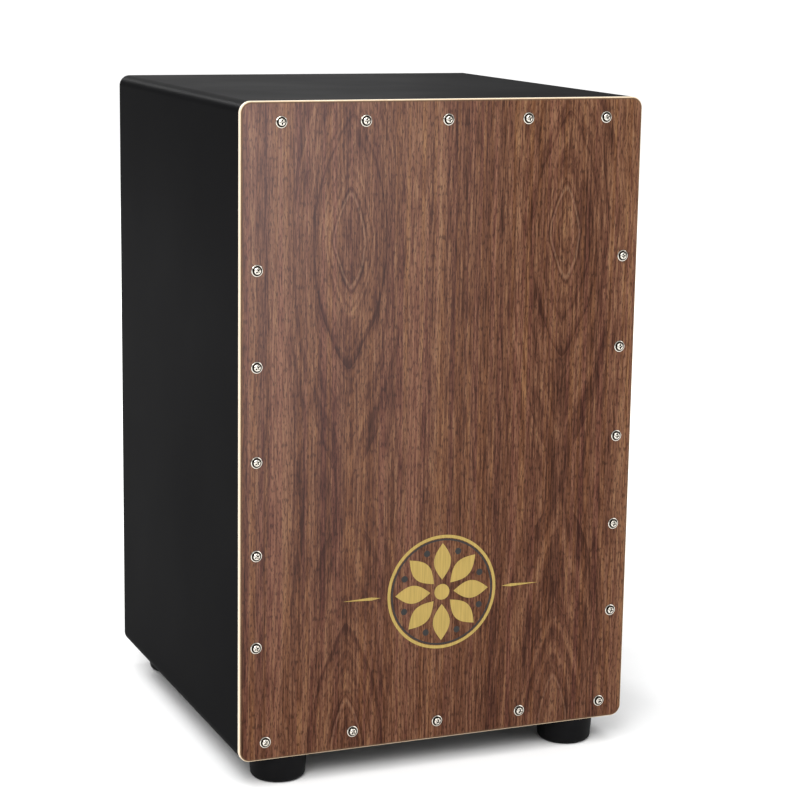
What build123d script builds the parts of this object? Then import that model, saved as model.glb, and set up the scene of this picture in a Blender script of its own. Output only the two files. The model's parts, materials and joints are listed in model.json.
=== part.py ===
from build123d import *
import math
import os

# A cajon: a box drum that the player sits on, with an adjustable string snare inside its playing face.
# Millimetres. +Z is up, the playing face looks along -Y, and the origin is on the floor under the
# middle of the box.

# Box
WIDTH = 300.0
DEPTH = 300.0
BODY_HEIGHT = 460.0
FOOT_HEIGHT = 20.0
WALL = 9.0
CORNER_RADIUS = 8.0
BACK_EDGE_ROUND = 2.0
BATTEN = 15.0
BATTEN_BEVEL = 1.5

# Playing face
VENEER = 0.5
CORE = 3.0
CORE_EDGE_ROUND = 0.9
VENEER_INSET = 0.8
VENEER_BEVEL = 0.2
TOP_ROW_INSET = 14.0
TOP_ROW_PITCH = 60.6
BOTTOM_ROW_INSET = 13.4
BOTTOM_ROW_PITCH = 65.5
ROW_COUNT = 5
COLUMN_INSET = 12.0
COLUMN_START = 83.0
COLUMN_PITCH = 66.0
COLUMN_COUNT = 5

# Sound hole in the back
SOUND_HOLE_RADIUS = 60.0
SOUND_HOLE_HEIGHT = 300.0
SOUND_HOLE_ROUND = 3.0

# Washer-head screws of the playing face
FLANGE_RADIUS = 4.0
FLANGE_THICKNESS = 0.8
FLANGE_RIM = 0.32
FLANGE_STEP = 0.3
DOME_RADIUS = 2.7
DOME_HEIGHT = 2.3
DOME_SHOULDER = 0.45
TAPA_SCREW_LENGTH = 16.0
SCREW_SHANK_RADIUS = 1.5
PILOT_GAP = 0.05
PILOT_RUNOUT = 1.0
PAN_RIM_SHARE = 0.45
TAPA_HOLE_RADIUS = 2.0
CROSS_TURN = math.radians(137.5)

# Cross recess of every wood screw
RECESS_SPAN = 3.6
RECESS_WIDTH = 1.1
RECESS_DEPTH = 1.8
RECESS_TAPER = 10.0

# Feet
FOOT_X = 114.0
FOOT_Y = 128.0
FOOT_TOP_RADIUS = 21.0
FOOT_LOW_RADIUS = 19.5
FOOT_ROUND = 4.0
FOOT_RECESS_RADIUS = 7.5
FOOT_RECESS_DEPTH = 12.0
FOOT_WASHER_RADIUS = 6.0
FOOT_WASHER = 1.0
FOOT_SHANK_RADIUS = 2.0
FOOT_SCREW_LENGTH = 16.0
FOOT_HEAD_RADIUS = 4.0
FOOT_HEAD_HEIGHT = 2.6

# Steel angle that holds the strings' upper ends
BRACKET = 2.0
BRACKET_OUTER_BEND = 3.0
BRACKET_INNER_BEND = 1.0
BRACKET_HALF_LENGTH = 112.0
BRACKET_TOP_INSET = 2.0
BRACKET_DROP = 10.0
BRACKET_REACH = 14.2
BRACKET_SCREW_X = (-92.0, -31.0, 31.0, 92.0)
BRACKET_SCREW_DROP = 1.0
BRACKET_SCREW_LENGTH = 12.0
BRACKET_HEAD_RADIUS = 3.5
BRACKET_HEAD_HEIGHT = 2.2

# Strings
STRING_RADIUS = 0.45
STRING_TOP_X = (-100.0, -62.0, 62.0, 100.0)
STRING_TOP_SETBACK = 2.2
STRING_LOW_SETBACK = 8.0
STRING_LOW_SPREAD = 6.0
SLOT_WIDTH = 2.2
BALL_RADIUS = 2.1
BALL_GROOVE_RADIUS = 1.4
BALL_LENGTH = 4.0
STRING_END_GAP = 0.1
PIN_PRESS_GAP = 0.02

# Tension bolts, carriages and the block that carries them
BOLT_X = 40.0
BOLT_SETBACK = 25.0
BOLT_RADIUS = 3.0
BOLT_LENGTH = 50.0
BOLT_HEAD_RADIUS = 5.0
BOLT_HEAD_HEIGHT = 6.0
BOLT_BEVEL = 0.5
HEX_ACROSS_FLATS = 5.0
HEX_DEPTH = 3.2
BOLT_HOLE_RADIUS = 3.4
KEY_HOLE_RADIUS = 4.0
COUNTERBORE_RADIUS = 6.5
COUNTERBORE_DEPTH = 8.0
RUNNING_GAP = 0.05
WASHER_RADIUS = 6.0
WASHER = 1.6
BLOCK_HALF_LENGTH = 64.0
BLOCK_DEPTH = 34.0
BLOCK_HEIGHT = 20.0
BLOCK_SCREW_X = (-57.0, 0.0, 57.0)
BLOCK_SCREW_LENGTH = 25.0
BLOCK_HEAD_RADIUS = 4.0
CARRIAGE_HALF_WIDTH = 13.0
CARRIAGE_HEIGHT = 8.0
CARRIAGE_LIP = 3.0
CARRIAGE_LIP_DEPTH = 9.0
CARRIAGE_ABOVE_FLOOR = 31.0
CARRIAGE_FRONT_SETBACK = 4.5
CARRIAGE_BACK_SETBACK = 46.0
CARRIAGE_ROUND = 2.0
PIN_BEHIND_BOLT = 14.0
PIN_RADIUS = 2.5
PIN_LENGTH = 50.0
PIN_BEVEL = 0.6

# Places that follow from the sizes above
FRONT_Y = -DEPTH / 2
BACK_Y = DEPTH / 2
CORE_FRONT_Y = FRONT_Y + VENEER
CORE_BACK_Y = CORE_FRONT_Y + CORE
BACK_INNER_Y = BACK_Y - WALL
FRONT_BATTEN_Y = CORE_BACK_Y + BATTEN
REAR_BATTEN_Y = BACK_INNER_Y - BATTEN
INNER_X = WIDTH / 2 - WALL
BATTEN_X = INNER_X - BATTEN
BODY_BOTTOM_Z = FOOT_HEIGHT
TOP_Z = FOOT_HEIGHT + BODY_HEIGHT
MIDDLE_Z = FOOT_HEIGHT + BODY_HEIGHT / 2
FLOOR_Z = BODY_BOTTOM_Z + WALL
CEILING_Z = TOP_Z - WALL
FOOT_PILOT_HIGH_Z = FOOT_RECESS_DEPTH - FOOT_WASHER + FOOT_SCREW_LENGTH + PILOT_RUNOUT
BRACKET_LOW_Z = CEILING_Z - BATTEN - BRACKET_DROP
BRACKET_SCREW_Z = CEILING_Z - BATTEN / 2 - BRACKET_SCREW_DROP
BOLT_Y = CORE_BACK_Y + BOLT_SETBACK
PIN_Y = BOLT_Y + PIN_BEHIND_BOLT
BLOCK_TOP_Z = FLOOR_Z + BLOCK_HEIGHT
BLOCK_SCREW_Y = FRONT_BATTEN_Y + BLOCK_DEPTH / 2
COUNTERBORE_Z = FLOOR_Z + COUNTERBORE_DEPTH
BOLT_SEAT_Z = COUNTERBORE_Z - WASHER - RUNNING_GAP
CARRIAGE_LOW_Z = FLOOR_Z + CARRIAGE_ABOVE_FLOOR
STRING_TOP_Y = CORE_BACK_Y + STRING_TOP_SETBACK
STRING_LOW_Y = CORE_BACK_Y + STRING_LOW_SETBACK
UPPER_BALL_Z = BRACKET_LOW_Z + BRACKET + BALL_RADIUS
LOWER_BALL_Z = CARRIAGE_LOW_Z - BALL_RADIUS


def block(x_limits, y_limits, z_limits):
    """A plain block between two limits along each axis."""
    limits = (x_limits, y_limits, z_limits)
    size = [abs(high - low) for low, high in limits]
    middle = [(low + high) / 2 for low, high in limits]
    return Pos(*middle) * Box(*size)


def upright_rod(x, y, low_z, high_z, radius):
    """A round rod, or the cutter for a round hole, along Z."""
    return Pos(x, y, (low_z + high_z) / 2) * Cylinder(radius, high_z - low_z)


def rod_through_depth(x, z, near_y, far_y, radius):
    """A round rod, or the cutter for a round hole, along Y."""
    turned = Rot(X=90) * Cylinder(radius, far_y - near_y)
    return Pos(x, (near_y + far_y) / 2, z) * turned


def dome_arc(radius, low_z, high_z):
    """The arc of a shallow dome: level where it meets the axis at high_z, and down to low_z at radius."""
    rise = high_z - low_z
    sphere_radius = (radius**2 + rise**2) / (2 * rise)
    half_angle = math.asin(radius / sphere_radius) / 2
    middle_drop = sphere_radius * (1 - math.cos(half_angle))
    middle = (sphere_radius * math.sin(half_angle), high_z - middle_drop)
    return ThreePointArc((radius, low_z), middle, (0, high_z))


def turned_solid(outline):
    """The solid that a half outline of (radius, height) lines makes when it turns about Z."""
    return revolve(Plane.XZ * make_face(outline), axis=Axis.Z)


def upright_sheet(front_y, thickness, inset):
    """A board with the box's rounded front outline, its front face at front_y."""
    width = WIDTH - 2 * inset
    height = BODY_HEIGHT - 2 * inset
    outline = RectangleRounded(width, height, CORNER_RADIUS - inset)
    face_plane = Plane(origin=(0, front_y, MIDDLE_Z), x_dir=(1, 0, 0), z_dir=(0, -1, 0))
    return extrude(face_plane * outline, -thickness)


# Screws


def cross_recess(face_z):
    """The tapered cross that a screwdriver fits, sunk from face_z."""
    slot = Rectangle(RECESS_SPAN, RECESS_WIDTH)
    cross = slot + Rot(Z=90) * slot
    return extrude(Pos(0, 0, face_z) * cross, -RECESS_DEPTH, taper=RECESS_TAPER)


def pointed_shank(radius, length):
    """A screw's shank, hanging from Z = 0, with a conical point twice as long as it is wide."""
    point = 2 * radius
    outline = Polyline((0, 0), (radius, 0), (radius, point - length), (0, -length), close=True)
    return turned_solid(outline)


def washer_head_screw():
    """A screw of the playing face: a sloped flange under a domed drum, its bearing face at Z = 0."""
    shoulder = FLANGE_THICKNESS + DOME_SHOULDER
    outline = Polyline(
        (0, DOME_HEIGHT),
        (0, 0),
        (FLANGE_RADIUS, 0),
        (FLANGE_RADIUS, FLANGE_RIM),
        (DOME_RADIUS + FLANGE_STEP, FLANGE_THICKNESS),
        (DOME_RADIUS, FLANGE_THICKNESS),
        (DOME_RADIUS, shoulder),
    )
    head = turned_solid(outline + dome_arc(DOME_RADIUS, shoulder, DOME_HEIGHT))
    return head + pointed_shank(SCREW_SHANK_RADIUS, TAPA_SCREW_LENGTH) - cross_recess(DOME_HEIGHT)


def pan_head_screw(head_radius, head_height, shank_radius, length):
    """A plain domed wood screw, its bearing face at Z = 0."""
    rim = PAN_RIM_SHARE * head_height
    outline = Polyline((0, head_height), (0, 0), (head_radius, 0), (head_radius, rim))
    head = turned_solid(outline + dome_arc(head_radius, rim, head_height))
    return head + pointed_shank(shank_radius, length) - cross_recess(head_height)


def flat_head_screw(head_radius, shank_radius, length):
    """A countersunk wood screw, the top of its head at Z = 0."""
    cone_depth = head_radius - shank_radius
    outline = Polyline((0, 0), (head_radius, 0), (shank_radius, -cone_depth), (0, -cone_depth), close=True)
    return turned_solid(outline) + pointed_shank(shank_radius, length) - cross_recess(0)


# Box


def seat_panel():
    """Top board, which the player sits on, with its long outer edges rounded."""
    board = block((-WIDTH / 2, WIDTH / 2), (CORE_BACK_Y, BACK_INNER_Y), (CEILING_Z, TOP_Z))
    outer_edges = board.edges().filter_by(Axis.Y).sort_by(Axis.Z)[-2:]
    return fillet(outer_edges, CORNER_RADIUS)


def bottom_panel():
    """Bottom board, with a key hole under each tension bolt and pilot holes for its screws."""
    board = block((-WIDTH / 2, WIDTH / 2), (CORE_BACK_Y, BACK_INNER_Y), (BODY_BOTTOM_Z, FLOOR_Z))
    outer_edges = board.edges().filter_by(Axis.Y).sort_by(Axis.Z)[:2]
    board = fillet(outer_edges, CORNER_RADIUS)
    for x in (-BOLT_X, BOLT_X):
        board -= upright_rod(x, BOLT_Y, BODY_BOTTOM_Z, FLOOR_Z, KEY_HOLE_RADIUS)
    for x, y in foot_places().values():
        board -= upright_rod(x, y, BODY_BOTTOM_Z, FOOT_PILOT_HIGH_Z, FOOT_SHANK_RADIUS + PILOT_GAP)
    for x in BLOCK_SCREW_X:
        pilot_low_z = BLOCK_TOP_Z - BLOCK_SCREW_LENGTH - PILOT_RUNOUT
        board -= upright_rod(x, BLOCK_SCREW_Y, pilot_low_z, FLOOR_Z, SCREW_SHANK_RADIUS + PILOT_GAP)
    return board


def side_panel(side):
    """Side board between the top and bottom boards; side is -1 for left and 1 for right."""
    return block((side * INNER_X, side * WIDTH / 2), (CORE_BACK_Y, BACK_INNER_Y), (FLOOR_Z, CEILING_Z))


def back_panel():
    """Back board over the ends of the other four, with the sound hole."""
    board = upright_sheet(BACK_INNER_Y, WALL, 0)
    board = fillet(board.edges().group_by(Axis.Y)[-1], BACK_EDGE_ROUND)
    board -= rod_through_depth(0, SOUND_HOLE_HEIGHT, BACK_INNER_Y, BACK_Y, SOUND_HOLE_RADIUS)
    hole_edges = board.edges().filter_by(GeomType.CIRCLE)
    rim = [edge for edge in hole_edges.group_by(Axis.Y)[-1] if abs(edge.radius - SOUND_HOLE_RADIUS) < 0.1]
    return fillet(rim, SOUND_HOLE_ROUND)


def batten(x_limits, y_limits, z_limits, length_axis):
    """A square batten; its long edge nearest the middle of the box is bevelled."""
    strip = block(x_limits, y_limits, z_limits)
    centre = Vector(0, 0, MIDDLE_Z)
    long_edges = strip.edges().filter_by(length_axis)
    inner_edge = min(long_edges, key=lambda edge: (edge.center() - centre).length)
    return chamfer(inner_edge, BATTEN_BEVEL)


def batten_frame(y_limits):
    """The four battens of the front or the rear frame: top, bottom, left and right."""
    across = (-INNER_X, INNER_X)
    between = (FLOOR_Z + BATTEN, CEILING_Z - BATTEN)
    return {
        "top": batten(across, y_limits, (CEILING_Z - BATTEN, CEILING_Z), Axis.X),
        "bottom": batten(across, y_limits, (FLOOR_Z, FLOOR_Z + BATTEN), Axis.X),
        "left": batten((-INNER_X, -BATTEN_X), y_limits, between, Axis.Z),
        "right": batten((BATTEN_X, INNER_X), y_limits, between, Axis.Z),
    }


def front_battens():
    """The front frame, drilled for the playing face's screws and the bracket's."""
    frame = batten_frame((CORE_BACK_Y, FRONT_BATTEN_Y))
    pilot_radius = SCREW_SHANK_RADIUS + PILOT_GAP
    for x, z, side in tapa_screw_places():
        tip_y = FRONT_Y + TAPA_SCREW_LENGTH + PILOT_RUNOUT
        frame[side] -= rod_through_depth(x, z, CORE_BACK_Y, tip_y, pilot_radius)
    for x in BRACKET_SCREW_X:
        tip_y = FRONT_BATTEN_Y + BRACKET - BRACKET_SCREW_LENGTH - PILOT_RUNOUT
        frame["top"] -= rod_through_depth(x, BRACKET_SCREW_Z, tip_y, FRONT_BATTEN_Y, pilot_radius)
    return frame


def corner_strip(side, low_z):
    """A glue strip along the depth, where a side board meets the top or bottom board."""
    x_limits = sorted((side * BATTEN_X, side * INNER_X))
    return batten(x_limits, (FRONT_BATTEN_Y, REAR_BATTEN_Y), (low_z, low_z + BATTEN), Axis.Y)


# Playing face


def tapa_screw_places():
    """(x, z, side) of each screw: two rows of five and two columns of five."""
    places = []
    for step in range(ROW_COUNT):
        offset = step - (ROW_COUNT - 1) / 2
        places.append((offset * TOP_ROW_PITCH, TOP_Z - TOP_ROW_INSET, "top"))
        places.append((offset * BOTTOM_ROW_PITCH, BODY_BOTTOM_Z + BOTTOM_ROW_INSET, "bottom"))
    for step in range(COLUMN_COUNT):
        z = BODY_BOTTOM_Z + COLUMN_START + step * COLUMN_PITCH
        places.append((COLUMN_INSET - WIDTH / 2, z, "left"))
        places.append((WIDTH / 2 - COLUMN_INSET, z, "right"))
    return places


def screw_holes_in_tapa():
    """The cutters for all of the playing face's screw holes."""
    places = tapa_screw_places()
    return [rod_through_depth(x, z, FRONT_Y, CORE_BACK_Y, TAPA_HOLE_RADIUS) for x, z, side in places]


def tapa_core():
    """The thin plywood board of the playing face, its front edge rounded."""
    board = upright_sheet(CORE_FRONT_Y, CORE, 0)
    board = fillet(board.edges().group_by(Axis.Y)[0], CORE_EDGE_ROUND)
    return board - screw_holes_in_tapa()


def tapa_veneer():
    """The veneer on the front of the playing face, set back from the rounded edge."""
    skin = upright_sheet(FRONT_Y, VENEER, VENEER_INSET)
    skin = chamfer(skin.edges().group_by(Axis.Y)[0], VENEER_BEVEL)
    return skin - screw_holes_in_tapa()


def tapa_screws():
    """The playing face's screws, each left with its cross at its own angle."""
    screw = washer_head_screw()
    screws = []
    for number, (x, z, side) in enumerate(tapa_screw_places()):
        angle = number * CROSS_TURN
        cross_direction = (math.cos(angle), 0, math.sin(angle))
        seat = Plane(origin=(x, FRONT_Y, z), x_dir=cross_direction, z_dir=(0, -1, 0))
        screws.append(seat.location * screw)
    return Compound(children=screws)


# Feet


def foot_places():
    """Name and (x, y) of each foot."""
    return {
        "front_left": (-FOOT_X, -FOOT_Y),
        "front_right": (FOOT_X, -FOOT_Y),
        "rear_left": (-FOOT_X, FOOT_Y),
        "rear_right": (FOOT_X, FOOT_Y),
    }


def foot(x, y):
    """A tapered rubber foot, rounded below, with a recess that sinks its screw."""
    outline = Polyline(
        (0, 0), (FOOT_LOW_RADIUS, 0), (FOOT_TOP_RADIUS, FOOT_HEIGHT), (0, FOOT_HEIGHT), close=True
    )
    body = turned_solid(outline)
    body = fillet(body.edges().group_by(Axis.Z)[0], FOOT_ROUND)
    body -= upright_rod(0, 0, 0, FOOT_RECESS_DEPTH, FOOT_RECESS_RADIUS)
    body -= upright_rod(0, 0, FOOT_RECESS_DEPTH, FOOT_HEIGHT, FOOT_SHANK_RADIUS + PILOT_GAP)
    return Pos(x, y, 0) * body


def foot_washers():
    """A steel washer at the top of each foot's recess."""
    low_z = FOOT_RECESS_DEPTH - FOOT_WASHER
    ring = upright_rod(0, 0, low_z, FOOT_RECESS_DEPTH, FOOT_WASHER_RADIUS)
    ring -= upright_rod(0, 0, low_z, FOOT_RECESS_DEPTH, FOOT_SHANK_RADIUS + PILOT_GAP)
    return Compound(children=[Pos(x, y, 0) * ring for x, y in foot_places().values()])


def foot_screws():
    """A pan-head screw up through each foot into the bottom board."""
    screw = pan_head_screw(FOOT_HEAD_RADIUS, FOOT_HEAD_HEIGHT, FOOT_SHANK_RADIUS, FOOT_SCREW_LENGTH)
    head_up = Pos(0, 0, FOOT_RECESS_DEPTH - FOOT_WASHER) * Rot(X=180) * screw
    return Compound(children=[Pos(x, y, 0) * head_up for x, y in foot_places().values()])


# String snare


def string_slot(x, front_y, end_y, low_z, high_z):
    """The cutter for a slot that a string hangs in: open at the front, round at its end."""
    slot = block((x - SLOT_WIDTH / 2, x + SLOT_WIDTH / 2), (front_y, end_y), (low_z, high_z))
    return slot + upright_rod(x, end_y, low_z, high_z, SLOT_WIDTH / 2)


def string_bracket():
    """A steel angle on the rear of the top front batten; its leg reaches forward under the batten."""
    x_limits = (-BRACKET_HALF_LENGTH, BRACKET_HALF_LENGTH)
    back_y = FRONT_BATTEN_Y + BRACKET
    front_y = FRONT_BATTEN_Y - BRACKET_REACH
    upright = block(x_limits, (FRONT_BATTEN_Y, back_y), (BRACKET_LOW_Z, CEILING_Z - BRACKET_TOP_INSET))
    leg = block(x_limits, (front_y, back_y), (BRACKET_LOW_Z, BRACKET_LOW_Z + BRACKET))
    angle = upright + leg
    long_edges = angle.edges().filter_by(Axis.X)
    outer_bend = min(long_edges, key=lambda edge: edge.center().Z - edge.center().Y)
    angle = fillet(outer_bend, BRACKET_OUTER_BEND)
    inner_corner = Vector(0, FRONT_BATTEN_Y, BRACKET_LOW_Z + BRACKET)
    long_edges = angle.edges().filter_by(Axis.X)
    inner_bend = min(long_edges, key=lambda edge: (edge.center() - inner_corner).length)
    angle = fillet(inner_bend, BRACKET_INNER_BEND)
    for x in STRING_TOP_X:
        angle -= string_slot(x, front_y, STRING_TOP_Y, BRACKET_LOW_Z, BRACKET_LOW_Z + BRACKET)
    for x in BRACKET_SCREW_X:
        hole_radius = SCREW_SHANK_RADIUS + PILOT_GAP
        angle -= rod_through_depth(x, BRACKET_SCREW_Z, FRONT_BATTEN_Y, back_y, hole_radius)
    return angle


def bracket_screws():
    """The screws that hold the angle to its batten, their heads at the rear."""
    screw = pan_head_screw(BRACKET_HEAD_RADIUS, BRACKET_HEAD_HEIGHT, SCREW_SHANK_RADIUS, BRACKET_SCREW_LENGTH)
    head_back = Pos(0, FRONT_BATTEN_Y + BRACKET, BRACKET_SCREW_Z) * Rot(X=-90) * screw
    return Compound(children=[Pos(x, 0, 0) * head_back for x in BRACKET_SCREW_X])


def string_low_x():
    """X of each string's lower end, in the order of STRING_TOP_X: two on each carriage."""
    spread = (-STRING_LOW_SPREAD, STRING_LOW_SPREAD)
    return [side * BOLT_X + offset for side in (-1, 1) for offset in spread]


def string(top_x, low_x):
    """One snare string, straight from its groove in the upper ball end to that in the lower one."""
    top = Vector(top_x, STRING_TOP_Y, UPPER_BALL_Z - BALL_GROOVE_RADIUS - STRING_END_GAP)
    low = Vector(low_x, STRING_LOW_Y, LOWER_BALL_Z + BALL_GROOVE_RADIUS + STRING_END_GAP)
    along = top - low
    return extrude(Plane(origin=low, z_dir=along) * Circle(STRING_RADIUS), along.length)


def ball_end(x, y, z):
    """A brass spool, its axis along X, that keeps a string's end from slipping through its slot."""
    half = BALL_LENGTH / 2
    outline = Polyline(
        (0, half), (BALL_RADIUS, half), (BALL_GROOVE_RADIUS, 0), (BALL_RADIUS, -half), (0, -half), close=True
    )
    return Pos(x, y, z) * Rot(Y=90) * turned_solid(outline)


def upper_ball_ends():
    """The ball ends that rest on the bracket's leg."""
    return Compound(children=[ball_end(x, STRING_TOP_Y, UPPER_BALL_Z) for x in STRING_TOP_X])


def lower_ball_ends(side):
    """The two ball ends that pull up against one carriage."""
    places = [x for x in string_low_x() if x * side > 0]
    return Compound(children=[ball_end(x, STRING_LOW_Y, LOWER_BALL_Z) for x in places])


def carriage(side):
    """A steel anchor block that the bolt draws down: a slotted lip, a bolt hole and a pin hole."""
    x = side * BOLT_X
    high_z = CARRIAGE_LOW_Z + CARRIAGE_HEIGHT
    front_y = CORE_BACK_Y + CARRIAGE_FRONT_SETBACK
    back_y = CORE_BACK_Y + CARRIAGE_BACK_SETBACK
    x_limits = (x - CARRIAGE_HALF_WIDTH, x + CARRIAGE_HALF_WIDTH)
    body = block(x_limits, (front_y, back_y), (CARRIAGE_LOW_Z, high_z))
    body = fillet(body.edges().filter_by(Axis.Z), CARRIAGE_ROUND)
    body -= block(x_limits, (front_y, front_y + CARRIAGE_LIP_DEPTH), (CARRIAGE_LOW_Z + CARRIAGE_LIP, high_z))
    for string_x in (x - STRING_LOW_SPREAD, x + STRING_LOW_SPREAD):
        body -= string_slot(string_x, front_y, STRING_LOW_Y, CARRIAGE_LOW_Z, high_z)
    body -= upright_rod(x, BOLT_Y, CARRIAGE_LOW_Z, high_z, BOLT_RADIUS + RUNNING_GAP)
    body -= upright_rod(x, PIN_Y, CARRIAGE_LOW_Z, high_z, PIN_RADIUS + RUNNING_GAP)
    return body


def tension_bolt(side):
    """A socket-head bolt, its head kept in the block's counterbore, that the carriage rides on."""
    head_low_z = BOLT_SEAT_Z - BOLT_HEAD_HEIGHT
    head = upright_rod(0, 0, head_low_z, BOLT_SEAT_Z, BOLT_HEAD_RADIUS)
    head = chamfer(head.edges().group_by(Axis.Z)[0], BOLT_BEVEL)
    hex_corner_radius = HEX_ACROSS_FLATS / math.sqrt(3)
    socket = Pos(0, 0, head_low_z) * extrude(RegularPolygon(hex_corner_radius, 6), HEX_DEPTH)
    shank = upright_rod(0, 0, BOLT_SEAT_Z, BOLT_SEAT_Z + BOLT_LENGTH, BOLT_RADIUS)
    shank = chamfer(shank.edges().group_by(Axis.Z)[-1], BOLT_BEVEL)
    return Pos(side * BOLT_X, BOLT_Y, 0) * (head - socket + shank)


def tension_washers():
    """The washers between the bolt heads and the ends of the block's counterbores."""
    low_z = COUNTERBORE_Z - WASHER
    ring = upright_rod(0, BOLT_Y, low_z, COUNTERBORE_Z, WASHER_RADIUS)
    ring -= upright_rod(0, BOLT_Y, low_z, COUNTERBORE_Z, BOLT_HOLE_RADIUS)
    return Compound(children=[Pos(x, 0, 0) * ring for x in (-BOLT_X, BOLT_X)])


def tension_block():
    """The hardwood block behind the bottom front batten that both bolts pull against."""
    y_limits = (FRONT_BATTEN_Y, FRONT_BATTEN_Y + BLOCK_DEPTH)
    body = block((-BLOCK_HALF_LENGTH, BLOCK_HALF_LENGTH), y_limits, (FLOOR_Z, BLOCK_TOP_Z))
    for x in (-BOLT_X, BOLT_X):
        body -= upright_rod(x, BOLT_Y, FLOOR_Z, BLOCK_TOP_Z, BOLT_HOLE_RADIUS)
        body -= upright_rod(x, BOLT_Y, FLOOR_Z, COUNTERBORE_Z, COUNTERBORE_RADIUS)
        body -= upright_rod(x, PIN_Y, FLOOR_Z, BLOCK_TOP_Z, PIN_RADIUS + PIN_PRESS_GAP)
    shank_radius = SCREW_SHANK_RADIUS + PILOT_GAP
    cone_depth = BLOCK_HEAD_RADIUS - SCREW_SHANK_RADIUS
    for x in BLOCK_SCREW_X:
        seat = Cone(shank_radius, shank_radius + cone_depth, cone_depth)
        body -= upright_rod(x, BLOCK_SCREW_Y, FLOOR_Z, BLOCK_TOP_Z, shank_radius)
        body -= Pos(x, BLOCK_SCREW_Y, BLOCK_TOP_Z - cone_depth / 2) * seat
    return body


def block_screws():
    """The screws that hold the block down."""
    screw = flat_head_screw(BLOCK_HEAD_RADIUS, SCREW_SHANK_RADIUS, BLOCK_SCREW_LENGTH)
    return Compound(children=[Pos(x, BLOCK_SCREW_Y, BLOCK_TOP_Z) * screw for x in BLOCK_SCREW_X])


def guide_pins():
    """The pins, pressed into the block, that keep the carriages from turning."""
    pin = upright_rod(0, PIN_Y, FLOOR_Z, FLOOR_Z + PIN_LENGTH, PIN_RADIUS)
    pin = chamfer(pin.edges().group_by(Axis.Z)[-1], PIN_BEVEL)
    return Compound(children=[Pos(x, 0, 0) * pin for x in (-BOLT_X, BOLT_X)])


def all_parts():
    """Every sub-part by the name of its node."""
    parts = {
        "seat_panel": seat_panel(),
        "bottom_panel": bottom_panel(),
        "back_panel": back_panel(),
        "tapa_core": tapa_core(),
        "tapa_veneer": tapa_veneer(),
        "tapa_screws": tapa_screws(),
        "foot_washers": foot_washers(),
        "foot_screws": foot_screws(),
        "string_bracket": string_bracket(),
        "bracket_screws": bracket_screws(),
        "ball_ends_upper": upper_ball_ends(),
        "tension_washers": tension_washers(),
        "tension_block": tension_block(),
        "block_screws": block_screws(),
        "guide_pins": guide_pins(),
    }
    for side_name, side in (("left", -1), ("right", 1)):
        parts[f"side_panel_{side_name}"] = side_panel(side)
        parts[f"corner_strip_top_{side_name}"] = corner_strip(side, CEILING_Z - BATTEN)
        parts[f"corner_strip_bottom_{side_name}"] = corner_strip(side, FLOOR_Z)
        parts[f"tension_bolt_{side_name}"] = tension_bolt(side)
        parts[f"carriage_{side_name}"] = carriage(side)
        parts[f"ball_ends_{side_name}"] = lower_ball_ends(side)
    for place, strip in front_battens().items():
        parts[f"batten_front_{place}"] = strip
    for place, strip in batten_frame((REAR_BATTEN_Y, BACK_INNER_Y)).items():
        parts[f"batten_rear_{place}"] = strip
    for place, (x, y) in foot_places().items():
        parts[f"foot_{place}"] = foot(x, y)
    string_names = ("left_outer", "left_inner", "right_inner", "right_outer")
    for name, top_x, low_x in zip(string_names, STRING_TOP_X, string_low_x()):
        parts[f"string_{name}"] = string(top_x, low_x)
    return parts


os.makedirs("parts", exist_ok=True)
for node, shape in all_parts().items():
    export_step(shape, f"parts/{node}.step")
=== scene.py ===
import json
import math

import bmesh
import bpy
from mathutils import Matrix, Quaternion, Vector


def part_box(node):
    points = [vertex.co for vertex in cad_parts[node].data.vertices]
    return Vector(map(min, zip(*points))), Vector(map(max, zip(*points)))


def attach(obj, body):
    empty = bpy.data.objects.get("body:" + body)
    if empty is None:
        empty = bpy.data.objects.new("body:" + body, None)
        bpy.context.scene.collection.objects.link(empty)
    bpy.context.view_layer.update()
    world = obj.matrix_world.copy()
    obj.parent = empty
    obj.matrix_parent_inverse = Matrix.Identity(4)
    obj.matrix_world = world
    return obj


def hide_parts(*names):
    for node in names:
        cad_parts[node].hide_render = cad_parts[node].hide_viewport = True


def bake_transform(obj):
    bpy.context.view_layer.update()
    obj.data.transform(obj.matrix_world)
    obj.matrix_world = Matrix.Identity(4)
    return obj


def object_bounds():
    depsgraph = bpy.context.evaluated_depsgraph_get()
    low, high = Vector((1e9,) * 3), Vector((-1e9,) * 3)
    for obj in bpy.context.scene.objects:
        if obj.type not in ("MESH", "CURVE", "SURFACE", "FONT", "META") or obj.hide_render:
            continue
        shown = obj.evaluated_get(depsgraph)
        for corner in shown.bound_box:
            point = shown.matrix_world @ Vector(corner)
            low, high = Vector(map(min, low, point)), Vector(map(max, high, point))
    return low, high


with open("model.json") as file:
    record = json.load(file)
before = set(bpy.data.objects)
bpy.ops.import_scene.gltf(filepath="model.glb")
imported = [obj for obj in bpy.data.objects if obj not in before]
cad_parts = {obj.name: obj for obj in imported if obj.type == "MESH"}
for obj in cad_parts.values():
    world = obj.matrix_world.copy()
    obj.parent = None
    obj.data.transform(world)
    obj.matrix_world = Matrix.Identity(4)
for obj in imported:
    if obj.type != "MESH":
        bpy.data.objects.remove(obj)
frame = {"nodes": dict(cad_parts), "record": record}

# The looks of a cajon, a box drum with an adjustable string snare. Metres, in the CAD's own frame:
# +Z is up, the playing face looks along -Y, and the origin is on the floor under the middle of the box.

CAD_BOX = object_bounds()
NODES = frame["nodes"]

# Camera
CAMERA_PLACE = Vector((-0.6142, -1.5502, 0.5803))
CAMERA_YAW = math.radians(22.55)
CAMERA_PITCH = math.radians(11.49)
CAMERA_ROLL = math.radians(0.91)
CAMERA_LENS = 100.0

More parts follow.
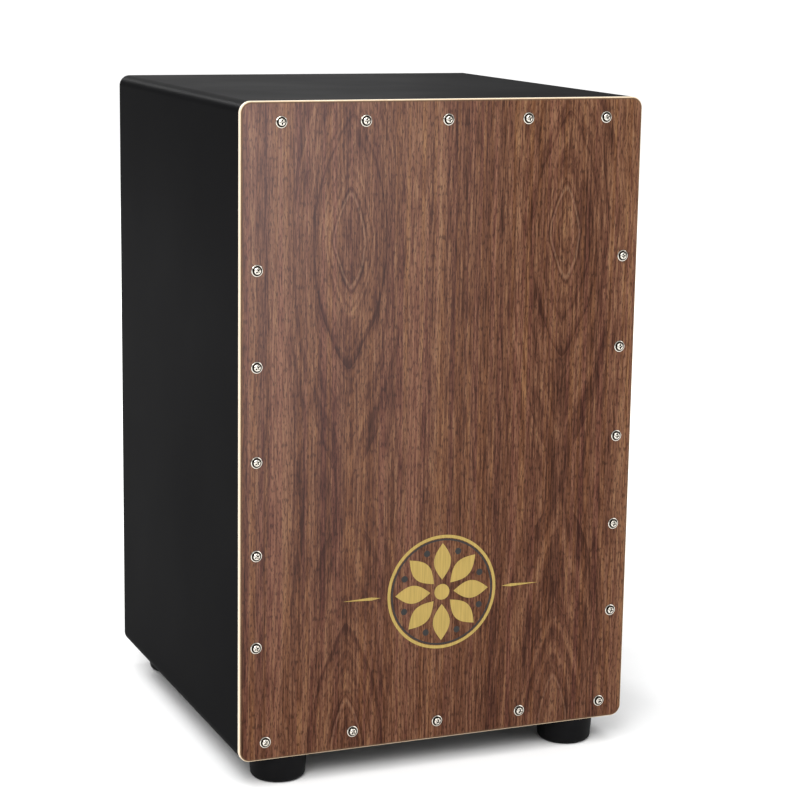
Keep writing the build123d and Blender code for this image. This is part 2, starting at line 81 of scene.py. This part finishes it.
# Places that follow from the frame
VENEER_LOW, VENEER_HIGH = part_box("tapa_veneer")
CORE_LOW, CORE_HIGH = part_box("tapa_core")
FACE_Y = VENEER_LOW.y
HEAD_HEIGHT = FACE_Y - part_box("tapa_screws")[0].y
INNER_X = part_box("side_panel_right")[0].x
INNER_BACK_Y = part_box("back_panel")[0].y
INNER_FLOOR_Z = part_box("bottom_panel")[1].z
INNER_TOP_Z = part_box("seat_panel")[0].z

# Walnut veneer: two leaves cut one after the other, laid side by side without being turned over. Each
# leaf's heart line wanders from side to side. The rings' bend into ovals is full up to OVALS_FULL from
# it, and falls to a share of OVALS_LEFT at OVALS_END. The rim's own brown is full over RIM_FULL_WIDTH
# and gone at RIM_WIDTH.
LEAF_WIDTH = 0.163
LEAF_CENTRE_X = -0.071
OVAL_Z = 0.385
FIGURE_WAVELENGTH = 0.36
FIGURE_DEPTH = 0.0008
FIGURE_POINT = 1.5
RING_SPACING = 0.016
HEART_HALF_WIDTH = 0.040
HEART_WANDER = 0.010
OVALS_FULL = 0.012
OVALS_END = 0.050
OVALS_LEFT = 0.08
PALE_OVAL = 0.011
VENEER_CORNER = 0.0072
RIM_WIDTH = 0.0012
RIM_FULL_WIDTH = 0.0004

# Shine of the black finishes: low, because both are seen at a grazing angle over a white floor
LACQUER_SHINE = 0.002
RUBBER_SHINE = 0.05

# Printed motif
MOTIF_X = 0.002
MOTIF_Z = 0.130
PRINT_THICKNESS = 0.00005
PRINT_SINK = 0.00002
RING_RADIUS = 0.042
RING_LINE = 0.0022
PETAL_COUNT = 8
PETAL_START = 0.009
PETAL_END = 0.036
PETAL_HALF_WIDTH = 0.0066
HUB_RADIUS = 0.0058
BAR_START = 0.047
BAR_END = 0.076
BAR_HALF_HEIGHT = 0.0011
BAR_WIDEST_SHARE = 0.25
INNER_LINE_GAP = 0.0006
INNER_LINE = 0.0012
DOT_PLACE_RADIUS = 0.0315
DOT_RADIUS = 0.0024
CIRCLE_STEPS = 96
DOT_STEPS = 24
PETAL_STEPS = 16

# Wound strings
WRAP_RADIUS = 0.00045
GROOVE_RADIUS = 0.00037
WRAP_PITCH = 0.0006
STRING_SIDES = 10
TWIST_LENGTH = 0.010
TWIST_PITCH = 0.0016
TWIST_STEPS = 12
CORE_WIRE_RADIUS = 0.00018
LOOP_RADIUS = 0.0016
LOOP_SIDES = 6
LOOP_STEPS = 28
WIRE_REFERENCE = Vector((1.0, 0.0, 0.0))

# Studio: each soft box has a place, a width and a power in watts
FLOOR_RADIUS = 60.0
FLOOR_SIDES = 96
WORLD_LIGHT = 0.48
SUN_LIGHT = 2.35
SUN_SOFTNESS = math.radians(70)
SUN_TURN = (math.radians(18), math.radians(-14), 0)
SOFT_BOXES = {
    "key": (Vector((-1.4, -2.2, 1.9)), 1.2, 30.0),
    "fill": (Vector((1.8, -1.8, 0.9)), 1.4, 8.0),
    "rear": (Vector((0.3, 2.9, 2.0)), 2.2, 22.0),
    "edge": (Vector((-0.75, 2.7, 1.6)), 0.5, 30.0),
}


def colour(code):
    """A shader colour from six hexadecimal digits, as a screen shows them."""
    channels = [int(code[place:place + 2], 16) / 255 for place in (0, 2, 4)]
    linear = [c / 12.92 if c <= 0.04045 else ((c + 0.055) / 1.055) ** 2.4 for c in channels]
    return (*linear, 1.0)


# Shader graphs


class Graph:
    """A new material's node tree, with short calls that add nodes to it.

    Its x, y and z are the surface point's place in the CAD's frame.
    """

    def __init__(self, name):
        self.material = bpy.data.materials.new(name)
        self.material.use_nodes = True
        self.tree = self.material.node_tree
        self.shader = self.tree.nodes["Principled BSDF"]
        parts = self.add("ShaderNodeSeparateXYZ")
        self.feed(parts.inputs[0], self.add("ShaderNodeTexCoord").outputs["Object"])
        self.x, self.y, self.z = parts.outputs

    def add(self, kind, **settings):
        """A new node with these settings."""
        node = self.tree.nodes.new(kind)
        for name, value in settings.items():
            setattr(node, name, value)
        return node

    def feed(self, socket, value):
        """Links value to a socket if it is another node's output, and sets it if it is a number."""
        if isinstance(value, bpy.types.NodeSocket):
            self.tree.links.new(value, socket)
        else:
            socket.default_value = value

    def math(self, operation, *values):
        """The result of a Math node."""
        node = self.add("ShaderNodeMath", operation=operation)
        for socket, value in zip(node.inputs, values):
            self.feed(socket, value)
        return node.outputs[0]

    def times(self, value, factor):
        """A value multiplied by a factor."""
        return self.math("MULTIPLY", value, factor)

    def point(self, *values):
        """A vector from three values."""
        node = self.add("ShaderNodeCombineXYZ")
        for socket, value in zip(node.inputs, values):
            self.feed(socket, value)
        return node.outputs[0]

    def stretched(self, scales):
        """The surface point with each of its coordinates multiplied by a scale."""
        place = (self.x, self.y, self.z)
        return self.point(*(self.times(part, scale) for part, scale in zip(place, scales)))

    def noise(self, point, detail=2.0, roughness=0.5):
        """Smooth noise around a half."""
        node = self.add("ShaderNodeTexNoise")
        self.feed(node.inputs["Vector"], point)
        self.feed(node.inputs["Scale"], 1.0)
        self.feed(node.inputs["Detail"], detail)
        self.feed(node.inputs["Roughness"], roughness)
        return node.outputs[0]

    def span(self, value, low, high, new_low=0.0, new_high=1.0):
        """value carried from one span to another, and held inside it."""
        node = self.add("ShaderNodeMapRange", clamp=True)
        for socket, number in zip(node.inputs, (value, low, high, new_low, new_high)):
            self.feed(socket, number)
        return node.outputs[0]

    def ramp(self, factor, stops):
        """A colour along a ramp of (place, colour) stops."""
        node = self.add("ShaderNodeValToRGB")
        elements = node.color_ramp.elements
        while len(elements) < len(stops):
            elements.new(0.5)
        for element, (place, shade) in zip(elements, stops):
            element.position = place
            element.color = shade
        self.feed(node.inputs[0], factor)
        return node.outputs[0]

    def mix(self, factor, first, second, blend_type="MIX"):
        """Two colours mixed. A Mix node's colours are its sockets 6 and 7, and come out at 2."""
        node = self.add("ShaderNodeMix", data_type="RGBA", blend_type=blend_type)
        self.feed(node.inputs[0], factor)
        self.feed(node.inputs[6], first)
        self.feed(node.inputs[7], second)
        return node.outputs[2]

    def bump(self, height, distance, strength):
        """Bumps the surface by a height from 0 to 1, times a distance in metres."""
        node = self.add("ShaderNodeBump")
        self.feed(node.inputs["Height"], height)
        self.feed(node.inputs["Distance"], distance)
        self.feed(node.inputs["Strength"], strength)
        self.feed(self.shader.inputs["Normal"], node.outputs[0])

    def finish(self, base, roughness, metallic=0.0, specular=0.5):
        """Feeds the shader's main sockets and gives the material."""
        self.feed(self.shader.inputs["Base Color"], base)
        self.feed(self.shader.inputs["Roughness"], roughness)
        self.feed(self.shader.inputs["Metallic"], metallic)
        self.feed(self.shader.inputs["Specular IOR Level"], specular)
        return self.material


# Materials. A noise's scale is about its features per metre, so it is large where they are small.


def leaf_rings(graph):
    """Two distances from a leaf's heart line: straight, and bent into pointed ovals and arches."""
    x, z = graph.x, graph.z
    across = graph.math("WRAP", graph.math("SUBTRACT", x, LEAF_CENTRE_X), LEAF_WIDTH / 2, -LEAF_WIDTH / 2)
    slow = graph.point(graph.times(across, 20), graph.times(z, 12), 0.0)
    wander = graph.times(graph.math("SUBTRACT", graph.noise(slow, 3.0), 0.5), HEART_WANDER)
    across = graph.math("ABSOLUTE", graph.math("ADD", across, wander))
    turn = graph.times(graph.math("SUBTRACT", z, OVAL_Z), 2 * math.pi / FIGURE_WAVELENGTH)
    depth = graph.times(graph.math("SUBTRACT", 1.0, graph.math("COSINE", turn)), FIGURE_DEPTH)
    depth = graph.times(depth, graph.span(across, OVALS_FULL, OVALS_END, 1.0, OVALS_LEFT))
    sides = (graph.math("POWER", across, FIGURE_POINT), graph.math("POWER", depth, FIGURE_POINT / 2))
    return across, graph.math("POWER", graph.math("ADD", *sides), 1 / FIGURE_POINT)


def veneer_rim(graph):
    """1 along the veneer's outer edge, which has a brown of its own, and 0 inside it."""
    middle_z = (VENEER_LOW.z + VENEER_HIGH.z) / 2
    beyond = []
    for value, middle, limit in ((graph.x, 0.0, VENEER_HIGH.x), (graph.z, middle_z, VENEER_HIGH.z)):
        offset = graph.math("ABSOLUTE", graph.math("SUBTRACT", value, middle))
        past = graph.math("MAXIMUM", graph.math("SUBTRACT", offset, limit - middle - VENEER_CORNER), 0.0)
        beyond.append(graph.times(past, past))
    distance = graph.math("SQRT", graph.math("ADD", *beyond))
    return graph.span(distance, VENEER_CORNER - RIM_WIDTH, VENEER_CORNER - RIM_FULL_WIDTH)


def walnut_tone(graph, across, ring, grain):
    """The wood's tone, dark where it is low: grain, streaks, bands, and the rings of each leaf's heart."""
    x, z = graph.x, graph.z
    heart = graph.span(across, HEART_HALF_WIDTH / 2, HEART_HALF_WIDTH, 1.0, 0.0)
    growth = graph.noise(graph.point(graph.times(ring, 150), graph.times(z, 0.9), 3.0), 2.0, 0.6)
    along_rings = graph.point(graph.times(ring, 480), graph.times(z, 1.8), graph.times(x, 3))
    streaks = graph.noise(along_rings, 2.0, 0.6)
    along_grain = graph.point(graph.times(ring, 50), graph.times(x, 85), graph.times(z, 0.8))
    bands = graph.noise(along_grain, 3.0, 0.6)
    years = graph.math("ADD", graph.times(ring, 1 / RING_SPACING), graph.times(growth, 0.5))
    late_wood = graph.times(graph.math("POWER", graph.math("FRACT", years), 10.0), heart)
    tone = graph.times(graph.times(graph.math("SUBTRACT", growth, 0.5), heart), 0.12)
    for layer, share in ((streaks, 0.20), (bands, 0.30), (grain, 0.50)):
        tone = graph.math("ADD", tone, graph.times(layer, share))
    return graph.math("SUBTRACT", tone, graph.times(late_wood, 0.06))


def walnut_tints_and_painted_light(graph, wood):
    """Slow tints over width and height, painted shade low down, painted sheen at the upper left, and the
    rim's own brown.
    """
    x, z = graph.x, graph.z
    hue = graph.noise(graph.point(graph.times(x, 260), 9.0, graph.times(z, 2.5)), 2.0)
    tint = graph.ramp(hue, ((0.38, colour("FFF6E2")), (0.50, colour("FFFFFF")), (0.62, colour("F4E4F2"))))
    wood = graph.mix(0.8, wood, tint, "MULTIPLY")
    # Painted shade: the wood is darkened towards the bottom.
    lower = graph.span(z, VENEER_LOW.z, VENEER_HIGH.z, 0.40, 0.0)
    wood = graph.mix(lower, wood, colour("C8AEB0"), "MULTIPLY")
    # Painted sheen: paler and greyer towards the upper left.
    painted_sheen = graph.times(graph.span(x, -0.15, 0.06, 0.14, 0.0), graph.span(z, 0.05, 0.45))
    wood = graph.mix(painted_sheen, wood, colour("B4A4A8"))
    return graph.mix(graph.times(veneer_rim(graph), 0.75), wood, colour("5F4A38"))


def walnut_veneer():
    """Walnut: growth rings cut nearly along their length, under fine straight grain and dark pores."""
    graph = Graph("walnut_veneer")
    across, ring = leaf_rings(graph)
    grain = graph.noise(graph.point(graph.times(graph.x, 700), 0.0, graph.times(graph.z, 34)), 3.0, 0.65)
    pores = graph.noise(graph.point(graph.times(graph.x, 1000), 4.0, graph.times(graph.z, 230)), 2.0)
    wood = graph.ramp(walnut_tone(graph, across, ring, grain), (
        (0.39, colour("371F14")),
        (0.44, colour("4D3023")),
        (0.49, colour("61402E")),
        (0.54, colour("72503B")),
        (0.60, colour("866449")),
    ))
    from_oval = graph.math("ABSOLUTE", graph.math("SUBTRACT", ring, PALE_OVAL))
    wood = graph.mix(graph.span(from_oval, 0.0002, 0.0009, 0.22, 0.0), wood, colour("B08C70"))
    pore_mask = graph.span(pores, 0.52, 0.62)
    wood = graph.mix(graph.times(pore_mask, 0.60), wood, colour("28160F"))
    # Tints, with painted shade towards the bottom and painted sheen at the upper left.
    wood = walnut_tints_and_painted_light(graph, wood)
    graph.bump(graph.math("SUBTRACT", graph.times(grain, 0.3), pore_mask), 0.00006, 0.6)
    return graph.finish(wood, graph.span(grain, 0.3, 0.7, 0.42, 0.54), specular=0.08)


def birch_core():
    """Thin plywood: pale plies with darker glue lines, seen on its rounded edge."""
    graph = Graph("birch_core")
    level = graph.span(graph.y, CORE_LOW.y, CORE_HIGH.y)
    plies = graph.ramp(level, (
        (0.00, colour("C9B08E")),
        (0.08, colour("E2D0B4")),
        (0.20, colour("F0E2CC")),
        (0.36, colour("F5EADA")),
        (0.50, colour("E6D3B4")),
        (0.64, colour("F3E6D2")),
    ))
    grain = graph.noise(graph.stretched((260, 900, 30)), 3.0, 0.6)
    streak = graph.span(grain, 0.3, 0.7, 0.0, 0.25)
    wood = graph.mix(streak, plies, colour("DCC09A"), "MULTIPLY")
    graph.bump(grain, 0.00005, 0.5)
    return graph.finish(wood, graph.span(grain, 0.3, 0.7, 0.44, 0.58), specular=0.35)


def inside_mask(graph):
    """1 on the box's inner faces, which are left raw, and 0 on its lacquered outer faces."""
    edge = 0.0002
    masks = (
        graph.math("LESS_THAN", graph.math("ABSOLUTE", graph.x), INNER_X + edge),
        graph.math("LESS_THAN", graph.y, INNER_BACK_Y + edge),
        graph.math("GREATER_THAN", graph.z, INNER_FLOOR_Z - edge),
        graph.math("LESS_THAN", graph.z, INNER_TOP_Z + edge),
    )
    product = masks[0]
    for mask in masks[1:]:
        product = graph.times(product, mask)
    return product


def black_lacquer(name, along):
    """Satin black lacquer with a faint spray texture, and raw plywood where the box faces inward.

    along is the axis that the plywood's grain runs along: 0, 1 or 2.
    """
    graph = Graph(name)
    plywood = [140, 140, 140]
    plywood[along] = 6
    spray = graph.noise(graph.stretched((900, 900, 900)), 2.0)
    patches = graph.noise(graph.stretched((7, 7, 7)), 3.0)
    grain = graph.noise(graph.stretched(plywood), 4.0, 0.6)
    lacquer = graph.ramp(patches, ((0.3, colour("0D0D0E")), (0.7, colour("101011"))))
    raw = graph.ramp(grain, ((0.3, colour("A8845A")), (0.5, colour("C6A376")), (0.7, colour("D6B88E"))))
    inside = inside_mask(graph)
    base = graph.mix(inside, lacquer, raw)
    sheen_roughness = graph.span(patches, 0.3, 0.7, 0.34, 0.42)
    roughness = graph.math("ADD", sheen_roughness, graph.times(inside, 0.25))
    graph.bump(spray, 0.00002, 0.35)
    return graph.finish(base, roughness, specular=LACQUER_SHINE)


def sawn_wood(name, along, pale, dark, roughness):
    """Raw sawn wood; along is the axis its grain runs along: 0, 1 or 2."""
    graph = Graph(name)
    fine = [420, 420, 420]
    broad = [75, 75, 75]
    fine[along] = 14
    broad[along] = 3
    fibres = graph.noise(graph.stretched(fine), 4.0, 0.6)
    rings = graph.noise(graph.stretched(broad), 2.0)
    tone = graph.math("ADD", graph.times(fibres, 0.4), graph.times(rings, 0.6))
    wood = graph.ramp(tone, ((0.38, colour(dark)), (0.62, colour(pale))))
    graph.bump(fibres, 0.0001, 0.6)
    return graph.finish(wood, graph.span(fibres, 0.3, 0.7, roughness, roughness + 0.15), specular=0.3)


def rubber():
    """Moulded black rubber, a little mottled."""
    graph = Graph("foot_rubber")
    speckle = graph.noise(graph.stretched((1400, 1400, 1400)), 3.0)
    bloom = graph.noise(graph.stretched((60, 60, 60)), 3.0)
    base = graph.ramp(bloom, ((0.3, colour("0C0C0D")), (0.7, colour("131314"))))
    graph.bump(speckle, 0.00004, 0.5)
    return graph.finish(base, graph.span(bloom, 0.3, 0.7, 0.48, 0.62), specular=RUBBER_SHINE)


def metal(name, bright, dull, low_roughness, high_roughness, scratch_scale):
    """A plated or turned metal with patches and fine scratches in its finish."""
    graph = Graph(name)
    patches = graph.noise(graph.stretched((240, 240, 240)), 3.0)
    scratches = graph.noise(graph.stretched((scratch_scale, scratch_scale, scratch_scale / 8)), 4.0, 0.7)
    base = graph.ramp(patches, ((0.35, colour(dull)), (0.65, colour(bright))))
    graph.bump(scratches, 0.00001, 0.5)
    return graph.finish(base, graph.span(scratches, 0.3, 0.7, low_roughness, high_roughness), metallic=1.0)


def nickel_screws():
    """Nickel plate: bright on the dome and the flange's edge, with painted shade in the groove between and in
    the cross.
    """
    graph = Graph("screw_nickel")
    level = graph.span(graph.math("SUBTRACT", FACE_Y, graph.y), 0.0, HEAD_HEIGHT)
    bright, dull = colour("EAE4D8"), colour("26221C")
    # The dark stops are painted shade, set by depth low in the head.
    nickel_and_painted_shade = (
        (0.11, dull), (0.15, bright), (0.23, bright),
        (0.27, dull), (0.66, dull), (0.72, bright),
    )
    scratches = graph.noise(graph.stretched((2400, 2400, 300)), 4.0, 0.7)
    graph.bump(scratches, 0.00001, 0.5)
    return graph.finish(graph.ramp(level, nickel_and_painted_shade), graph.span(scratches, 0.3, 0.7, 0.10, 0.22), metallic=1.0)


def printed_ink(name, pale, dark):
    """Ink printed on veneer, with the grain's faint texture showing through."""
    graph = Graph(name)
    grain = graph.noise(graph.stretched((1500, 1, 42)), 3.0, 0.6)
    ink = graph.ramp(grain, ((0.35, colour(dark)), (0.65, colour(pale))))
    graph.bump(grain, 0.00003, 0.4)
    return graph.finish(ink, graph.span(grain, 0.3, 0.7, 0.38, 0.50))


def floor_paper():
    """Plain pale studio paper."""
    graph = Graph("floor_paper")
    fibre = graph.noise(graph.stretched((30, 30, 30)), 2.0)
    base = graph.ramp(fibre, ((0.3, colour("F6F6F6")), (0.7, colour("F8F8F8"))))
    return graph.finish(base, 0.9, specular=0.0)


def grain_axis(node):
    """The axis that a piece of wood's grain runs along: its longest side."""
    low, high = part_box(node)
    size = high - low
    return max(range(3), key=lambda axis: size[axis])


def dress(node, material):
    """Puts a material on a CAD node, in all of its slots."""
    mesh = NODES[node].data
    if not mesh.materials:
        mesh.materials.append(material)
    for place in range(len(mesh.materials)):
        mesh.materials[place] = material


def dress_all():
    """Every CAD node's material, by the slot that the record gives the node."""
    grained = {"batten_wood": {}, "black_lacquer": {}}
    for axis, letter in enumerate("xyz"):
        grained["batten_wood"][axis] = sawn_wood(f"batten_wood_{letter}", axis, "DDBE90", "B98F5E", 0.6)
    for axis, letter in ((0, "x"), (2, "z")):
        grained["black_lacquer"][axis] = black_lacquer(f"black_lacquer_{letter}", axis)
    finishes = {
        "walnut_veneer": walnut_veneer(),
        "birch_core": birch_core(),
        "block_hardwood": sawn_wood("block_hardwood", 0, "B88A5C", "8C5F3A", 0.5),
        "foot_rubber": rubber(),
        "screw_nickel": nickel_screws(),
        "zinc_steel": metal("zinc_steel", "B9BBBE", "9EA0A6", 0.24, 0.42, 1600),
        "bolt_steel": metal("bolt_steel", "4A4A4D", "2E2E31", 0.34, 0.5, 1800),
        "string_steel": metal("string_steel", "C4C4C6", "A4A4A8", 0.22, 0.38, 2600),
        "ball_brass": metal("ball_brass", "DDB765", "B8914A", 0.22, 0.36, 2000),
    }
    for subpart in frame["record"]["subparts"]:
        node, slot = subpart["node"], subpart["material_slot"]
        if slot in grained:
            dress(node, grained[slot][grain_axis(node)])
        else:
            dress(node, finishes[slot])
    return finishes


# Mesh pieces


def piece_from(mesh, name, material):
    """A new object from a filled bmesh, with its material."""
    bmesh.ops.recalc_face_normals(mesh, faces=mesh.faces)
    data = bpy.data.meshes.new(name)
    mesh.to_mesh(data)
    mesh.free()
    data.materials.append(material)
    piece = bpy.data.objects.new(name, data)
    bpy.context.scene.collection.objects.link(piece)
    return piece


def add_print(mesh, outline, hole=()):
    """A thin closed plate on the veneer's face, from (x, z) points; a hole has as many as its outline."""
    front_y = FACE_Y - PRINT_THICKNESS
    back_y = FACE_Y + PRINT_SINK
    loops = [outline, hole] if hole else [outline]
    front = [[mesh.verts.new((x, front_y, z)) for x, z in loop] for loop in loops]
    back = [[mesh.verts.new((x, back_y, z)) for x, z in loop] for loop in loops]
    for near, far in zip(front, back):
        for step in range(len(near)):
            after = (step + 1) % len(near)
            mesh.faces.new((near[step], near[after], far[after], far[step]))
    for layer in (front, back):
        if not hole:
            mesh.faces.new(layer[0])
            continue
        outer, inner = layer
        for step in range(len(outer)):
            after = (step + 1) % len(outer)
            mesh.faces.new((outer[step], outer[after], inner[after], inner[step]))


def circle_outline(radius, x=MOTIF_X, z=MOTIF_Z, steps=CIRCLE_STEPS):
    """A circle of (x, z) points, round the motif's middle if no other is given."""
    angles = [2 * math.pi * step / steps for step in range(steps)]
    return [(x + radius * math.cos(a), z + radius * math.sin(a)) for a in angles]


def petal_outline(angle):
    """A pointed petal that runs outward from the motif's middle at an angle."""
    shares = [step / PETAL_STEPS for step in range(PETAL_STEPS + 1)]
    length = PETAL_END - PETAL_START
    upper = [(PETAL_START + length * s, PETAL_HALF_WIDTH * math.sin(math.pi * s)) for s in shares]
    lower = [(along, -width) for along, width in upper[-2:0:-1]]
    cos, sin = math.cos(angle), math.sin(angle)
    return [(MOTIF_X + a * cos - w * sin, MOTIF_Z + a * sin + w * cos) for a, w in upper + lower]


def bar_outline(side):
    """A thin tapered bar that points away from the ring; side is -1 for left and 1 for right."""
    start, end = MOTIF_X + side * BAR_START, MOTIF_X + side * BAR_END
    widest = start + (end - start) * BAR_WIDEST_SHARE
    return [
        (start, MOTIF_Z),
        (widest, MOTIF_Z + BAR_HALF_HEIGHT),
        (end, MOTIF_Z),
        (widest, MOTIF_Z - BAR_HALF_HEIGHT),
    ]


def gold_print():
    """The motif's ring, hub, petals and bars."""
    mesh = bmesh.new()
    add_print(mesh, circle_outline(RING_RADIUS), circle_outline(RING_RADIUS - RING_LINE))
    add_print(mesh, circle_outline(HUB_RADIUS))
    for number in range(PETAL_COUNT):
        add_print(mesh, petal_outline(2 * math.pi * number / PETAL_COUNT))
    for side in (-1, 1):
        add_print(mesh, bar_outline(side))
    return mesh


def black_print():
    """The motif's thin line inside the ring, and a dot between each pair of petals."""
    mesh = bmesh.new()
    outer = RING_RADIUS - RING_LINE - INNER_LINE_GAP
    add_print(mesh, circle_outline(outer), circle_outline(outer - INNER_LINE))
    for number in range(PETAL_COUNT):
        angle = 2 * math.pi * (number + 0.5) / PETAL_COUNT
        dot_x = MOTIF_X + DOT_PLACE_RADIUS * math.cos(angle)
        dot_z = MOTIF_Z + DOT_PLACE_RADIUS * math.sin(angle)
        add_print(mesh, circle_outline(DOT_RADIUS, dot_x, dot_z, DOT_STEPS))
    return mesh


def printed_motif():
    """A plain rosette in a ring, with a tapered bar on each side, printed low on the playing face."""
    gold_ink = printed_ink("gold_print", "B0944A", "97803A")
    black_ink = printed_ink("black_print", "15130F", "0B0A09")
    gold_piece = piece_from(gold_print(), "motif_gold", gold_ink)
    black_piece = piece_from(black_print(), "motif_black", black_ink)
    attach(gold_piece, "cabinet")
    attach(black_piece, "cabinet")


# Strings


def wire(mesh, centres, radii, sides, closed=False):
    """A round wire through centre points, with a radius at each; a closed one joins up with its start."""
    count = len(centres)
    angles = [2 * math.pi * step / sides for step in range(sides)]
    rings = []
    for place, (centre, radius) in enumerate(zip(centres, radii)):
        if closed:
            along = centres[(place + 1) % count] - centres[place - 1]
        else:
            along = centres[min(place + 1, count - 1)] - centres[max(place - 1, 0)]
        first = along.cross(WIRE_REFERENCE).normalized()
        second = along.normalized().cross(first)
        outward = [math.cos(a) * first + math.sin(a) * second for a in angles]
        rings.append([mesh.verts.new(centre + radius * direction) for direction in outward])
    followers = rings[1:] + rings[:1] if closed else rings[1:]
    for near, far in zip(rings, followers):
        for step in range(sides):
            after = (step + 1) % sides
            mesh.faces.new((near[step], near[after], far[after], far[step]))
    if not closed:
        mesh.faces.new(rings[0])
        mesh.faces.new(rings[-1])


def loop_round_ball(mesh, ball):
    """The string's core wire where it goes round the groove of its ball end."""
    angles = [2 * math.pi * step / LOOP_STEPS for step in range(LOOP_STEPS)]
    centres = [ball + LOOP_RADIUS * Vector((0, math.cos(a), math.sin(a))) for a in angles]
    wire(mesh, centres, [CORE_WIRE_RADIUS] * LOOP_STEPS, LOOP_SIDES, closed=True)


def twisted_pair(mesh, start, end):
    """The core wire and its own tail, twisted together between two points."""
    along = (end - start).normalized()
    first = along.cross(WIRE_REFERENCE).normalized()
    second = along.cross(first)
    turns = (end - start).length / TWIST_PITCH
    steps = int(turns * TWIST_STEPS)
    for strand in (0, math.pi):
        centres = []
        for step in range(steps + 1):
            angle = strand + 2 * math.pi * turns * step / steps
            offset = CORE_WIRE_RADIUS * (math.cos(angle) * first + math.sin(angle) * second)
            centres.append(start.lerp(end, step / steps) + offset)
        wire(mesh, centres, [CORE_WIRE_RADIUS] * len(centres), LOOP_SIDES)


def string_ends(node):
    """The middle of the plain string's upper end, and of its lower one."""
    corners = [vertex.co for vertex in NODES[node].data.vertices]
    middle_z = sum(corner.z for corner in corners) / len(corners)
    groups = ([c for c in corners if c.z > middle_z], [c for c in corners if c.z <= middle_z])
    return [sum(group, Vector()) / len(group) for group in groups]


def ball_centre(node, x):
    """The middle of the ball end at x, among the ball ends that one node holds."""
    low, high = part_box(node)
    return Vector((x, (low.y + high.y) / 2, (low.z + high.z) / 2))


def wound_string(side, place, material):
    """A wound string between the bracket and its carriage, looped round the ball end at each end."""
    node = f"string_{side}_{place}"
    top, bottom = string_ends(node)
    along = (top - bottom).normalized()
    wound_top = top - along * TWIST_LENGTH
    wound_bottom = bottom + along * TWIST_LENGTH
    mesh = bmesh.new()
    count = 2 * int((wound_top - wound_bottom).length / WRAP_PITCH)
    centres = [wound_bottom.lerp(wound_top, step / count) for step in range(count + 1)]
    radii = [WRAP_RADIUS if step % 2 else GROOVE_RADIUS for step in range(count + 1)]
    wire(mesh, centres, radii, STRING_SIDES)
    ends = ((top, wound_top, "ball_ends_upper"), (bottom, wound_bottom, f"ball_ends_{side}"))
    for end, wound_end, balls in ends:
        twisted_pair(mesh, end, wound_end)
        loop_round_ball(mesh, ball_centre(balls, end.x))
    piece = piece_from(mesh, f"wound_{node}", material)
    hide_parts(node)
    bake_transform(piece)


def all_strings(material):
    """The four strings, two to a carriage."""
    for side in ("left", "right"):
        for place in ("outer", "inner"):
            wound_string(side, place, material)


# Studio


def add_floor():
    """A wide pale floor."""
    mesh = bmesh.new()
    bmesh.ops.create_circle(mesh, cap_ends=True, segments=FLOOR_SIDES, radius=FLOOR_RADIUS)
    data = bpy.data.meshes.new("studio_floor")
    mesh.to_mesh(data)
    mesh.free()
    data.materials.append(floor_paper())
    floor = bpy.data.objects.new("studio_floor", data)
    floor.location.z = CAD_BOX[0].z
    bpy.context.scene.collection.objects.link(floor)


def add_area_light(name, place, size, power):
    """A square soft box that faces the middle of the object."""
    data = bpy.data.lights.new(name, "AREA")
    data.size = size
    data.energy = power
    light = bpy.data.objects.new(name, data)
    middle = (CAD_BOX[0] + CAD_BOX[1]) / 2
    light.location = place
    light.rotation_mode = "QUATERNION"
    light.rotation_quaternion = (middle - light.location).to_track_quat("-Z", "Y")
    bpy.context.scene.collection.objects.link(light)


def add_sun():
    """A very soft overhead light that is the same all over the floor."""
    data = bpy.data.lights.new("overhead", "SUN")
    data.energy = SUN_LIGHT
    data.angle = SUN_SOFTNESS
    sun = bpy.data.objects.new("overhead", data)
    sun.rotation_euler = SUN_TURN
    bpy.context.scene.collection.objects.link(sun)


def add_world():
    """Plain white light from all round, which the camera alone sees at full white behind the floor."""
    world = bpy.data.worlds.new("studio")
    world.use_nodes = True
    nodes = world.node_tree.nodes
    background = nodes["Background"]
    background.inputs["Color"].default_value = (1.0, 1.0, 1.0, 1.0)
    light_path = nodes.new("ShaderNodeLightPath")
    shown = nodes.new("ShaderNodeMath")
    shown.operation = "MULTIPLY_ADD"
    shown.inputs[1].default_value = 1.0 - WORLD_LIGHT
    shown.inputs[2].default_value = WORLD_LIGHT
    world.node_tree.links.new(light_path.outputs["Is Camera Ray"], shown.inputs[0])
    world.node_tree.links.new(shown.outputs[0], background.inputs["Strength"])
    bpy.context.scene.world = world


def add_camera():
    """The photograph's viewpoint: a long lens a little above the seat, from the front left."""
    data = bpy.data.cameras.new("camera")
    data.lens = CAMERA_LENS
    camera = bpy.data.objects.new("camera", data)
    forward = Vector((
        math.sin(CAMERA_YAW) * math.cos(CAMERA_PITCH),
        math.cos(CAMERA_YAW) * math.cos(CAMERA_PITCH),
        -math.sin(CAMERA_PITCH),
    ))
    camera.location = CAMERA_PLACE
    camera.rotation_mode = "QUATERNION"
    level = forward.to_track_quat("-Z", "Y")
    camera.rotation_quaternion = level @ Quaternion((0, 0, 1), CAMERA_ROLL)
    bpy.context.scene.collection.objects.link(camera)
    bpy.context.scene.camera = camera


bpy.context.scene.view_settings.view_transform = "Standard"
add_camera()
add_world()
add_sun()
for name, (place, size, power) in SOFT_BOXES.items():
    add_area_light(name, place, size, power)
add_floor()
finishes = dress_all()
printed_motif()
all_strings(finishes["string_steel"])
